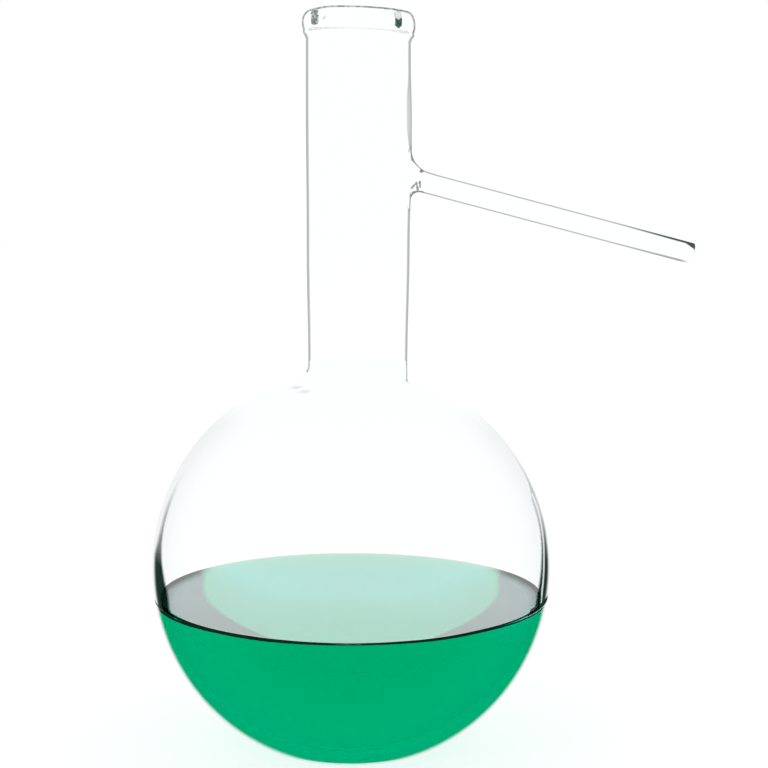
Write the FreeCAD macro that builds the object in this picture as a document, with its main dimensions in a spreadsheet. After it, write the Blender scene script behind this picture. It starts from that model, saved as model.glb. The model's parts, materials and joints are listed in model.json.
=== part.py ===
# Distilling flask: a flat-bottomed glass bulb, a beaded neck, a side arm sealed to the neck, and the
# liquid in the bulb. Millimetres and degrees, +Z up. The origin is the middle of the flat base, and the
# side arm points along +X.
import FreeCAD, Part
import math
import os

import Sketcher
from FreeCAD import Rotation, Vector

SIZES = {
    "bulb_diameter": 131.0,
    "bulb_wall": 2.0,
    "base_flat_diameter": 50.0,
    "heel_radius": 12.0,  # outside, between the flat base and the round of the bulb
    "shoulder_radius": 3.5,  # outside, between the bulb and the neck
    "shoulder_rise": 5.0,  # from where the neck would meet the bulb up to their seal
    "neck_offset": 1.9,  # the neck stands this far off the bulb's middle, towards the arm
    "neck_diameter": 33.4,
    "neck_wall": 2.0,
    "neck_length": 104.0,  # between its two seals
    "neck_foot_diameter": 32.4,  # drawn in where the neck is sealed to the bulb
    "neck_taper_length": 34.0,  # from that seal up to the full diameter
    "bead_diameter": 36.3,
    "bead_height": 8.0,
    "lip_diameter": 33.5,  # outer edge of the bead's top
    "lip_round": 0.8,
    "arm_diameter": 6.8,
    "arm_wall": 1.2,
    "arm_slope": 14.5,  # degrees below the horizontal
    "arm_below_lip": 48.8,  # from the lip down to where the arm's axis crosses the neck's
    "arm_length": 112.5,  # along its axis, from the neck's axis to the open end
    "arm_end_round": 0.45,
    "root_diameter": 7.4,  # of the arm's tapered root, if it ran on to the neck's axis
    "seal_diameter": 21.0,  # the patch of neck wall that is melted in with the arm's root
    "seal_reach": 27.0,  # along the arm's axis, from the neck's axis to the seal's end
    "seal_crotch_radius": 7.5,  # outside, above the arm
    "seal_armpit_radius": 2.7,  # outside, below the arm
    "seal_mouth_radius": 1.4,  # inside, where the arm's bore opens into the neck
    "liquid_level": 49.1,  # of its flat surface above the bench
    "meniscus_height": 1.2,
    "meniscus_radius": 1.6,
}

# Heights and depths that follow from the sizes.
LEVELS = {
    "bulb_centre": "Sizes.heel_radius + sqrt((Sizes.bulb_diameter / 2 - Sizes.heel_radius)^2"
    " - (Sizes.base_flat_diameter / 2)^2)",
    "neck_foot": "bulb_centre + sqrt((Sizes.bulb_diameter / 2)^2 - (Sizes.neck_foot_diameter / 2)^2)"
    " + Sizes.shoulder_rise",
    "bead_foot": "neck_foot + Sizes.neck_length",
    "arm_root": "bead_foot + Sizes.bead_height - Sizes.arm_below_lip",
}

TINY = 1e-4  # two points closer than this are the same
ON_SURFACE = 1e-3  # a point closer than this to a surface lies on it
doc = FreeCAD.newDocument("DistillingFlask")


def fill_sheet(name, cells, text):
    """A sheet with one aliased cell a row, holding text(value)."""
    sheet = doc.addObject("Spreadsheet::Sheet", name)
    for row, (alias, value) in enumerate(cells.items(), 1):
        sheet.set(f"A{row}", alias)
        sheet.set(f"B{row}", text(value))
        sheet.setAlias(f"B{row}", alias)
    doc.recompute()
    return sheet


sizes = fill_sheet("Sizes", SIZES, str)
levels = fill_sheet("Levels", LEVELS, lambda formula: "=" + formula)


def value(expression):
    """The number that an expression on the sheets comes to."""
    return float(sizes.evalExpression(expression))


def bind(thing, **expressions):
    """Binds properties of an object to expressions; a double underscore stands for a dot."""
    for path, expression in expressions.items():
        thing.setExpression(path.replace("__", "."), expression)


def stand_on_neck_axis(thing, height):
    """Puts an object's own origin on the neck's axis, upright, at a height."""
    bind(thing, Placement__Base__x="Sizes.neck_offset", Placement__Base__z=height)


def point_along_arm(thing):
    """Puts an object's own origin where the arm's axis crosses the neck's, and its +Z along the arm."""
    thing.Placement = FreeCAD.Placement(Vector(), Rotation(Vector(0, 1, 0), 90))
    stand_on_neck_axis(thing, "Levels.arm_root")
    bind(thing, Placement__Rotation__Angle="90 + Sizes.arm_slope")


# ---- sketches ----


def new_body(label):
    body = doc.addObject("PartDesign::Body", label)
    body.Label = label
    return body


def new_sketch(body, name, role, height=None):
    """A sketch on one of the body's own origin planes, or at a height above it."""
    sketch = body.newObject("Sketcher::SketchObject", name)
    plane = next(f for f in body.Origin.OriginFeatures if f.Role == role)
    sketch.AttachmentSupport = (plane, [""])
    sketch.MapMode = "FlatFace"
    if height:
        bind(sketch, AttachmentOffset__Base__z=height)
    return sketch


def dimension(sketch, name, expression, kind, *where):
    """A named dimension of a sketch, bound to an expression."""
    index = sketch.addConstraint(Sketcher.Constraint(kind, *where, value(expression)))
    sketch.renameConstraint(index, name)
    sketch.setExpression(f"Constraints.{name}", expression)


def relate(sketch, kind, *where):
    sketch.addConstraint(Sketcher.Constraint(kind, *where))


def line(sketch, start, end):
    return sketch.addGeometry(Part.LineSegment(Vector(*start, 0), Vector(*end, 0)), False)


def arc(sketch, centre, radius, first, last):
    """An arc that runs counter-clockwise between two angles in radians."""
    circle = Part.Circle(Vector(*centre, 0), Vector(0, 0, 1), radius)
    return sketch.addGeometry(Part.ArcOfCircle(circle, first, last), False)


START, END, CENTRE = range(1, 4)
X_AXIS, Y_AXIS = range(-1, -3, -1)
ORIGIN = (X_AXIS, START)


def circle_sketch(body, name, diameter, height):
    """A circle on the neck's axis, in a level plane."""
    sketch = new_sketch(body, name, "XY_Plane", height)
    ring = sketch.addGeometry(
        Part.Circle(Vector(value("Sizes.neck_offset"), 0, 0), Vector(0, 0, 1), value(diameter) / 2), False
    )
    relate(sketch, "PointOnObject", ring, CENTRE, X_AXIS)
    dimension(sketch, "off_middle", "Sizes.neck_offset", "DistanceX", *ORIGIN, ring, CENTRE)
    dimension(sketch, "diameter", diameter, "Diameter", ring)
    return sketch


def bowl_outline(sketch, inset, top_angle):
    """Draws half of the bulb's section from the axis outwards: flat base, heel and round.

    inset is the expression for how far inside the outer surface it runs, or None on that surface.
    Returns the base line and the round's arc, which ends at top_angle.
    """
    deep = value(inset) if inset else 0.0
    less = f" - {inset}" if inset else ""
    flat, heel = value("Sizes.base_flat_diameter") / 2, value("Sizes.heel_radius")
    middle = value("Levels.bulb_centre")
    turn = math.atan2(heel - middle, flat)
    base = line(sketch, (0, deep), (flat, deep))
    corner = arc(sketch, (flat, heel), heel - deep, -math.pi / 2, turn)
    wall = arc(sketch, (0, middle), value("Sizes.bulb_diameter") / 2 - deep, turn, top_angle)
    relate(sketch, "Horizontal", base)
    relate(sketch, "Tangent", base, END, corner, START)
    relate(sketch, "Tangent", corner, END, wall, START)
    relate(sketch, "PointOnObject", wall, CENTRE, Y_AXIS)
    dimension(sketch, "flat", "Sizes.base_flat_diameter / 2", "DistanceX", base, START, base, END)
    dimension(sketch, "heel", "Sizes.heel_radius" + less, "Radius", corner)
    dimension(sketch, "round", "Sizes.bulb_diameter / 2" + less, "Radius", wall)
    if inset:
        relate(sketch, "PointOnObject", base, START, Y_AXIS)
        dimension(sketch, "inset", inset, "DistanceY", *ORIGIN, base, START)
    else:
        relate(sketch, "Coincident", base, START, *ORIGIN)
    return base, wall


def bowl_sketch(body, name, inset=None):
    """The closed half section of the bulb, up to its pole."""
    sketch = new_sketch(body, name, "XZ_Plane")
    base, wall = bowl_outline(sketch, inset, math.pi / 2)
    pole = value("Levels.bulb_centre") + value("Sizes.bulb_diameter") / 2
    axis = line(sketch, (0, pole), (0, 0))
    relate(sketch, "Vertical", axis)
    relate(sketch, "Coincident", wall, END, axis, START)
    relate(sketch, "Coincident", axis, END, base, START)
    return sketch


def polygon(sketch, corners):
    """A closed outline of straight lines."""
    lines = [line(sketch, a, b) for a, b in zip(corners, corners[1:] + corners[:1])]
    for this, following in zip(lines, lines[1:] + lines[:1]):
        relate(sketch, "Coincident", this, END, following, START)
    return lines


# ---- solid features ----


def turn_round(body, kind, name, sketch):
    """A Revolution or Groove of a sketch about its own vertical axis."""
    feature = body.newObject(f"PartDesign::{kind}", name)
    feature.Profile = sketch
    feature.ReferenceAxis = (sketch, ["V_Axis"])
    feature.Angle = 360
    doc.recompute()
    return feature


def round_edges(body, name, chosen, radius):
    """Rounds those edges of the body's solid so far that chosen(edge) picks."""
    base = body.Tip
    names = [f"Edge{i}" for i, edge in enumerate(base.Shape.Edges, 1) if chosen(edge)]
    if not names:
        raise RuntimeError(f"{body.Label}: {name} found no edge")
    feature = body.newObject("PartDesign::Fillet", name)
    feature.Base = (base, names)
    bind(feature, Radius=radius)
    doc.recompute()
    return feature


def middle_of(edge):
    return edge.valueAt((edge.FirstParameter + edge.LastParameter) / 2)


def is_line(edge):
    return isinstance(edge.Curve, Part.Line)


def at_end(height):
    """Picks the round edges at the far end of a turned shape, in its own axes."""
    return lambda edge: not is_line(edge) and middle_of(edge).z > height - TINY


def meets_bulb(diameter):
    """Picks the edges where an upright tube on the neck's axis runs into the round of the bulb."""
    foot, low = value("Levels.neck_foot"), value("Levels.bulb_centre")
    radius, off = value(diameter) / 2, value("Sizes.neck_offset")

    def chosen(edge):
        at = middle_of(edge)
        on_tube = abs(math.hypot(at.x - off, at.y) - radius) < TINY
        return on_tube and not is_line(edge) and low + TINY < at.z < foot - TINY

    return chosen


# ---- the glass ----


def make_bulb():
    """The blown bulb, up to its seal with the neck."""
    body = new_body("bulb")
    turn_round(body, "Revolution", "BulbOutside", bowl_sketch(body, "BulbOutline"))
    rise = "Levels.neck_foot - Levels.bulb_centre"

    stub = body.newObject("PartDesign::Pad", "Shoulder")
    stub.Profile = circle_sketch(body, "ShoulderCircle", "Sizes.neck_foot_diameter", "Levels.bulb_centre")
    bind(stub, Length=rise)
    doc.recompute()
    round_edges(body, "ShoulderRound", meets_bulb("Sizes.neck_foot_diameter"), "Sizes.shoulder_radius")

    full = body.Shape.Volume
    turn_round(body, "Groove", "BulbInside", bowl_sketch(body, "CavityOutline", "Sizes.bulb_wall"))
    bore = "Sizes.neck_foot_diameter - 2 * Sizes.neck_wall"
    throat = body.newObject("PartDesign::Pocket", "Throat")
    throat.Profile = circle_sketch(body, "ThroatCircle", bore, "Levels.neck_foot")
    bind(throat, Length=rise)
    doc.recompute()
    round_edges(body, "ThroatRound", meets_bulb(bore), "Sizes.shoulder_radius + Sizes.bulb_wall")
    if body.Shape.Volume > full / 2:
        raise RuntimeError("bulb: the cavity was not cut")
    return body


def make_neck_tube():
    """The neck's tube, drawn in towards its seal with the bulb."""
    body = new_body("NeckTube")
    stand_on_neck_axis(body, "Levels.neck_foot")
    outer, foot = "Sizes.neck_diameter / 2", "Sizes.neck_foot_diameter / 2"
    bore, throat = outer + " - Sizes.neck_wall", foot + " - Sizes.neck_wall"
    taper, tall = "Sizes.neck_taper_length", "Sizes.neck_length"
    r_out, r_foot, r_in, r_throat, bend, top = (value(e) for e in (outer, foot, bore, throat, taper, tall))

    sketch = new_sketch(body, "NeckOutline", "XZ_Plane")
    corners = [(r_throat, 0), (r_foot, 0), (r_out, bend), (r_out, top), (r_in, top), (r_in, bend)]
    low, _, side, end, wall, _ = polygon(sketch, corners)
    relate(sketch, "PointOnObject", low, START, X_AXIS)
    for level in (low, end):
        relate(sketch, "Horizontal", level)
    for upright in (side, wall):
        relate(sketch, "Vertical", upright)
    dimension(sketch, "throat", throat, "DistanceX", *ORIGIN, low, START)
    dimension(sketch, "foot", foot, "DistanceX", *ORIGIN, low, END)
    dimension(sketch, "outer", outer, "DistanceX", *ORIGIN, side, START)
    dimension(sketch, "bore", bore, "DistanceX", *ORIGIN, wall, END)
    dimension(sketch, "taper_outside", taper, "DistanceY", *ORIGIN, side, START)
    dimension(sketch, "taper_inside", taper, "DistanceY", *ORIGIN, wall, END)
    dimension(sketch, "tall", tall, "DistanceY", *ORIGIN, end, START)
    turn_round(body, "Revolution", "NeckTurned", sketch)
    return body


def make_pipe_core(name, radius):
    """A stretch of the straight neck round the arm's root: its outside, or its bore."""
    core = doc.addObject("Part::Cylinder", name)
    bind(core, Radius=radius, Height="Sizes.seal_diameter * 2")
    stand_on_neck_axis(core, "Levels.arm_root - Sizes.seal_diameter")
    return core


def make_rod(name, radius, length):
    """A cylinder along the arm's axis, from the neck's axis outwards."""
    rod = doc.addObject("Part::Cylinder", name)
    bind(rod, Radius=radius, Height=length)
    point_along_arm(rod)
    return rod


def make_taper(name, root_radius, end_radius, length):
    """A cone along the arm's axis, from the neck's axis outwards."""
    taper = doc.addObject("Part::Cone", name)
    bind(taper, Radius1=root_radius, Radius2=end_radius, Height=length)
    point_along_arm(taper)
    return taper


def combine(kind, name, base, tool):
    """A Part boolean of two objects."""
    result = doc.addObject(f"Part::{kind}", name)
    result.Base, result.Tool = base, tool
    doc.recompute()
    return result


def round_root(name, base, root_radius, end_radius, upper, lower):
    """Rounds the edges where the arm's root, or its bore, runs into the neck's wall.

    The root narrows from root_radius at the neck's axis to end_radius at its end. The rounding changes
    from upper, above the arm, to lower, below it.
    """
    origin = Vector(value("Sizes.neck_offset"), 0, value("Levels.arm_root"))
    slope = math.radians(value("Sizes.arm_slope"))
    along = Vector(math.cos(slope), 0, -math.sin(slope))
    end = value("Sizes.seal_reach")

    def is_root(edge):
        out = middle_of(edge) - origin
        reach = out.dot(along)
        radius = root_radius + (end_radius - root_radius) * reach / end
        near = abs((out - along * reach).Length - radius) < ON_SURFACE
        return near and not is_line(edge) and root_radius < reach < end - TINY

    def radii(edge):
        rises = edge.valueAt(edge.LastParameter).z > edge.valueAt(edge.FirstParameter).z
        return (lower, upper) if rises else (upper, lower)

    feature = doc.addObject("Part::Fillet", name)
    feature.Base = base
    feature.Edges = [(i, *radii(e)) for i, e in enumerate(base.Shape.Edges, 1) if is_root(e)]
    if len(feature.Edges) != 2:
        raise RuntimeError(f"{name}: the root has {len(feature.Edges)} edges, not 2")
    doc.recompute()
    return feature


def make_neck_and_seal():
    """The neck's tube with the hole for the arm, and the flared root of the arm that fills the hole."""
    root_radius, arm_radius = "Sizes.root_diameter / 2", "Sizes.arm_diameter / 2"
    bore_radius = arm_radius + " - Sizes.arm_wall"
    outside = make_pipe_core("NeckOutside", "Sizes.neck_diameter / 2")
    inside = make_pipe_core("NeckBore", "Sizes.neck_diameter / 2 - Sizes.neck_wall")
    zone = make_rod("SealZone", "Sizes.seal_diameter / 2", "Sizes.seal_reach * 2")
    doc.recompute()
    neck = combine("Cut", "neck", make_neck_tube(), zone)

    root = make_taper("RootOutside", root_radius, arm_radius, "Sizes.seal_reach")
    root_bore = make_rod("RootBore", bore_radius, "Sizes.seal_reach")
    doc.recompute()
    crotch, armpit = value("Sizes.seal_crotch_radius"), value("Sizes.seal_armpit_radius")
    bore, mouth = value(bore_radius), value("Sizes.seal_mouth_radius")
    blank = combine("Fuse", "RootBlank", outside, root)
    flared = round_root("RootFlare", blank, value(root_radius), value(arm_radius), crotch, armpit)
    bores = combine("Fuse", "RootBores", inside, root_bore)
    eased = round_root("RootMouth", bores, bore, bore, mouth, mouth)
    wall = combine("Cut", "RootWall", flared, eased)
    seal = combine("Common", "side_arm_seal", wall, zone)
    return neck, seal


def make_bead():
    """The rolled bead round the mouth, fire-polished at its lip."""
    body = new_body("rim_bead")
    stand_on_neck_axis(body, "Levels.bead_foot")
    bore, foot = "Sizes.neck_diameter / 2 - Sizes.neck_wall", "Sizes.neck_diameter / 2"
    lip, belly, tall = "Sizes.lip_diameter / 2", "Sizes.bead_diameter / 2", "Sizes.bead_height"
    inner, root, edge, out, top = (value(e) for e in (bore, foot, lip, belly, tall))

    sketch = new_sketch(body, "BeadOutline", "XZ_Plane")
    low = line(sketch, (inner, 0), (root, 0))
    sag = out - (root + edge) / 2
    radius = (top**2 / 4 + sag**2) / (2 * sag)
    swing = math.asin(top / 2 / radius)
    roll = arc(sketch, (out - radius, top / 2), radius, -swing, swing)
    land = line(sketch, (edge, top), (inner, top))
    wall = line(sketch, (inner, top), (inner, 0))
    gauge = line(sketch, (out, top), (out, 0))
    sketch.toggleConstruction(gauge)
    for this, following in ((low, roll), (roll, land), (land, wall), (wall, low)):
        relate(sketch, "Coincident", this, END, following, START)
    relate(sketch, "PointOnObject", low, START, X_AXIS)
    relate(sketch, "PointOnObject", gauge, END, X_AXIS)
    for level in (low, land):
        relate(sketch, "Horizontal", level)
    for upright in (wall, gauge):
        relate(sketch, "Vertical", upright)
    relate(sketch, "Tangent", roll, gauge)
    dimension(sketch, "bore", bore, "DistanceX", *ORIGIN, low, START)
    dimension(sketch, "foot", foot, "DistanceX", *ORIGIN, low, END)
    dimension(sketch, "lip", lip, "DistanceX", *ORIGIN, land, START)
    dimension(sketch, "belly", belly, "DistanceX", *ORIGIN, gauge, END)
    dimension(sketch, "tall", tall, "DistanceY", *ORIGIN, land, END)
    dimension(sketch, "gauge", tall, "DistanceY", gauge, END, gauge, START)
    turn_round(body, "Revolution", "BeadTurned", sketch)
    round_edges(body, "LipRound", at_end(top), "Sizes.lip_round")
    return body


def make_arm():
    """The side arm's tube, from its seal to its fire-polished open end."""
    body = new_body("side_arm")
    point_along_arm(body)
    outer, bore = "Sizes.arm_diameter / 2", "Sizes.arm_diameter / 2 - Sizes.arm_wall"
    first, last = "Sizes.seal_reach", "Sizes.arm_length"
    r_out, r_in, near, far = (value(e) for e in (outer, bore, first, last))

    sketch = new_sketch(body, "ArmOutline", "XZ_Plane")
    foot, side, end, wall = polygon(sketch, [(r_in, near), (r_out, near), (r_out, far), (r_in, far)])
    for level in (foot, end):
        relate(sketch, "Horizontal", level)
    for upright in (side, wall):
        relate(sketch, "Vertical", upright)
    dimension(sketch, "bore", bore, "DistanceX", *ORIGIN, foot, START)
    dimension(sketch, "outer", outer, "DistanceX", *ORIGIN, foot, END)
    dimension(sketch, "near", first, "DistanceY", *ORIGIN, foot, START)
    dimension(sketch, "far", last, "DistanceY", *ORIGIN, end, END)
    turn_round(body, "Revolution", "ArmTurned", sketch)
    round_edges(body, "EndRound", at_end(far), "Sizes.arm_end_round")
    return body


# ---- the filling ----


def make_liquid():
    """The liquid, wetting the bulb's inside, with a meniscus that climbs the glass."""
    body = new_body("liquid")
    level, climb = "Sizes.liquid_level", "Sizes.meniscus_height"
    surface, rise, bend = value(level), value(climb), value("Sizes.meniscus_radius")
    middle, reach = value("Levels.bulb_centre"), value("Sizes.bulb_diameter / 2 - Sizes.bulb_wall")
    contact = surface + rise
    contact_radius = math.sqrt(reach**2 - (contact - middle) ** 2)
    edge = contact_radius - math.sqrt(bend**2 - (bend - rise) ** 2)

    sketch = new_sketch(body, "LiquidOutline", "XZ_Plane")
    base, wall = bowl_outline(sketch, "Sizes.bulb_wall", math.asin((contact - middle) / reach))
    last = math.atan2(rise - bend, contact_radius - edge)
    meniscus = arc(sketch, (edge, surface + bend), bend, -math.pi / 2, last)
    top = line(sketch, (edge, surface), (0, surface))
    axis = line(sketch, (0, surface), (0, value("Sizes.bulb_wall")))
    relate(sketch, "Coincident", wall, END, meniscus, END)
    relate(sketch, "Tangent", meniscus, START, top, START)
    relate(sketch, "Horizontal", top)
    relate(sketch, "Coincident", top, END, axis, START)
    relate(sketch, "Coincident", axis, END, base, START)
    relate(sketch, "Vertical", axis)
    dimension(sketch, "level", level, "DistanceY", *ORIGIN, top, END)
    dimension(sketch, "climb", climb, "DistanceY", top, START, wall, END)
    dimension(sketch, "bend", "Sizes.meniscus_radius", "Radius", meniscus)
    turn_round(body, "Revolution", "LiquidTurned", sketch)
    return body


def check(parts):
    """Stops if any object of the document failed, or a sub-part's shape isn't one sound solid."""
    for thing in doc.Objects:
        if "Invalid" in thing.State or "Error" in thing.State:
            raise RuntimeError(f"{thing.Label}: {thing.State}")
    for part in parts:
        shape = part.Shape
        if shape.isNull() or not shape.isValid() or len(shape.Solids) != 1:
            raise RuntimeError(f"{part.Label}: {len(shape.Solids)} solids, not one sound solid")


def main():
    parts = [make_bulb(), *make_neck_and_seal(), make_bead(), make_arm(), make_liquid()]
    doc.recompute()
    check(parts)
    os.makedirs("parts", exist_ok=True)
    for part in parts:
        part.Shape.exportStep(f"parts/{part.Label}.step")
        print(f"{part.Label:14s} {part.Shape.Volume:10.1f} mm3")


main()
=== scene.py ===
import json
import logging
import math
from abc import ABC, abstractmethod
from collections.abc import Callable
from dataclasses import dataclass, field, fields
from enum import Enum
from functools import cached_property

import bpy
from mathutils import Matrix, Vector

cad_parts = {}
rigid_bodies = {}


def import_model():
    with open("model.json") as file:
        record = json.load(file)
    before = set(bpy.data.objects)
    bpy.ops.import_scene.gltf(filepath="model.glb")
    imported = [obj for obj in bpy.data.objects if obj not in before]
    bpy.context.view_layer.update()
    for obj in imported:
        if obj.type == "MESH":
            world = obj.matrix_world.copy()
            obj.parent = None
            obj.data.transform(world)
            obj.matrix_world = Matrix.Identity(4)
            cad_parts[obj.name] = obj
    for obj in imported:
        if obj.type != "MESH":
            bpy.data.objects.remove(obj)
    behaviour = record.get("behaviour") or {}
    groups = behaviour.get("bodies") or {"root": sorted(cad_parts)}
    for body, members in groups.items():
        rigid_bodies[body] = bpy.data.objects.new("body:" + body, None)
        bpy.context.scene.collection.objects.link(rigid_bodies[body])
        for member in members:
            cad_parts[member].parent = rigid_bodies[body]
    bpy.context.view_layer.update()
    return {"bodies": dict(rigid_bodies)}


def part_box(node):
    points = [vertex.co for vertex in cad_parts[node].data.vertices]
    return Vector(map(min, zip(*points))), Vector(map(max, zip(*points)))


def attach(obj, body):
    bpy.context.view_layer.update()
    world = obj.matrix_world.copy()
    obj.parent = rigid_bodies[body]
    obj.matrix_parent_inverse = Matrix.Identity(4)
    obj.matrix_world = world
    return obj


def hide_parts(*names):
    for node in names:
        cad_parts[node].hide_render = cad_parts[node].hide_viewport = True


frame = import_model()

LOG = logging.getLogger("flask")
MM = 0.001
TURN = 2 * math.pi

Colour = tuple[float, float, float]
Profile = tuple[tuple[float, float], ...]
WHITE: Colour = (1.0, 1.0, 1.0)


# ---------------------------------------------------------------- shader maths


class Term:
    """A shader socket, or a plain number, that takes part in Python arithmetic."""

    def __init__(self, graph: "Graph", socket: bpy.types.NodeSocket) -> None:
        """Wraps an output socket.

        Args:
            graph: The graph that new Math nodes are added to.
            socket: The output socket.
        """
        self.graph = graph
        self.socket = socket

    def _math(self, operation: str, first: object, second: object) -> "Term":
        """Adds one Math node.

        Args:
            operation: The node's operation.
            first: Its first value, a Term or a number.
            second: Its second value, a Term or a number.

        Returns:
            The node's result.
        """
        return self.graph.node("ShaderNodeMath", {"operation": operation}, {0: first, 1: second})

    def __add__(self, other: object) -> "Term":
        """self + other."""
        return self._math("ADD", self, other)

    __radd__ = __add__

    def __sub__(self, other: object) -> "Term":
        """self - other."""
        return self._math("SUBTRACT", self, other)

    def __rsub__(self, other: object) -> "Term":
        """other - self."""
        return self._math("SUBTRACT", other, self)

    def __mul__(self, other: object) -> "Term":
        """self * other."""
        return self._math("MULTIPLY", self, other)

    __rmul__ = __mul__

    def __abs__(self) -> "Term":
        """Its size, without the sign."""
        return self._math("ABSOLUTE", self, 0.0)

    def maximum(self, other: object) -> "Term":
        """The larger of the two."""
        return self._math("MAXIMUM", self, other)


class Graph:
    """The node tree of one material or world."""

    def __init__(self, owner: bpy.types.ID) -> None:
        """Empties the owner's tree.

        Args:
            owner: A material or a world.
        """
        owner.use_nodes = True
        self.tree = owner.node_tree
        self.tree.nodes.clear()

    def node(
        self,
        kind: str,
        settings: dict[str, object] | None = None,
        inputs: dict[object, object] | None = None,
        output: int | str = 0,
    ) -> Term:
        """Adds any node.

        Args:
            kind: The node's type.
            settings: Its properties, set before its sockets.
            inputs: Values or Terms for its input sockets, by name or number.
            output: The output socket that is wanted.

        Returns:
            That output.
        """
        made = self.tree.nodes.new(kind)
        for name, value in (settings or {}).items():
            if name == "stops":
                ramp = made.color_ramp
                while len(ramp.elements) < len(value):
                    ramp.elements.new(1.0)
                for element, (position, colour) in zip(ramp.elements, value):
                    element.position, element.color = position, (*colour, 1.0)
            else:
                setattr(made, name, value)
        for key, value in (inputs or {}).items():
            socket = made.inputs[key]
            if isinstance(value, Term):
                self.tree.links.new(value.socket, socket)
            elif socket.type == "RGBA" and len(value) == 3:
                socket.default_value = (*value, 1.0)
            else:
                socket.default_value = value
        return Term(self, made.outputs[output] if made.outputs else None)

    def smooth(self, value: Term, low: float, high: float) -> Term:
        """A smooth step.

        Args:
            value: What it reads.
            low: Where it leaves 0.
            high: Where it reaches 1.

        Returns:
            The step, from 0 to 1.
        """
        settings = {"interpolation_type": "SMOOTHSTEP"}
        return self.node("ShaderNodeMapRange", settings, {0: value, 1: low, 2: high, 3: 0.0, 4: 1.0})

    def read(self, name: str) -> Term:
        """A number that the mesh carries, by its name."""
        return self.node("ShaderNodeAttribute", {"attribute_name": name}, output="Fac")

    def mix(self, share: object, first: object, second: object) -> Term:
        """A mix of two colours.

        Args:
            share: How much of the second, from 0 to 1.
            first: A colour.
            second: Another colour.

        Returns:
            The mixed colour.
        """
        settings = {"data_type": "RGBA"}
        return self.node("ShaderNodeMix", settings, {0: share, 6: first, 7: second}, 2)

    def path(self, *rays: str) -> Term:
        """1 for any of the named kinds of ray, and 0 for the rest.

        Args:
            rays: Names of Light Path outputs.

        Returns:
            The mask.
        """
        found = [self.node("ShaderNodeLightPath", output=ray) for ray in rays]
        total = found[0]
        for other in found[1:]:
            total = total.maximum(other)
        return total

    def blend(self, share: object, first: Term, second: Term) -> Term:
        """A Mix Shader.

        Args:
            share: How much of the second.
            first: A shader.
            second: Another shader.

        Returns:
            The mixed shader.
        """
        return self.node("ShaderNodeMixShader", None, {0: share, 1: first, 2: second})

    def straight(self, colour: Colour) -> Term:
        """A shader that light goes straight through."""
        return self.node("ShaderNodeBsdfTransparent", None, {"Color": colour})

    def background_rays(self) -> Term:
        """1 for the rays that show the white surround."""
        return self.path("Is Camera Ray", "Is Glossy Ray", "Is Transmission Ray")


# ---------------------------------------------------------------- finishes


@dataclass(frozen=True)
class Edge:
    """How the glass shows at one point of a piece, which the mesh carries under these names.

    The edge's shift widens its painted dark line of shade, and the number after it says how dark that painted
    shade is. Clear is 1 where light goes straight on, so that thin walls stay clear. The fringe widens the
    painted pale rim outside the dark line, and the gap is the distance from a painted light line within it.
    """

    shift: float = -1.0
    ink: float = 0.0
    clear: float = 1.0
    fringe: float = -1.0
    gap: float = 9.0


@dataclass(frozen=True)
class Finish(ABC):
    """A procedural material."""

    name: str

    @abstractmethod
    def shade(self, graph: Graph) -> dict[str, Term]:
        """Adds the shader's nodes.

        Args:
            graph: The material's nodes.

        Returns:
            What feeds the material's output, by socket.
        """

    def material(self) -> bpy.types.Material:
        """Makes the material.

        Returns:
            The material.
        """
        made = bpy.data.materials.new(self.name)
        graph = Graph(made)
        graph.node("ShaderNodeOutputMaterial", None, self.shade(graph))
        return made


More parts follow.
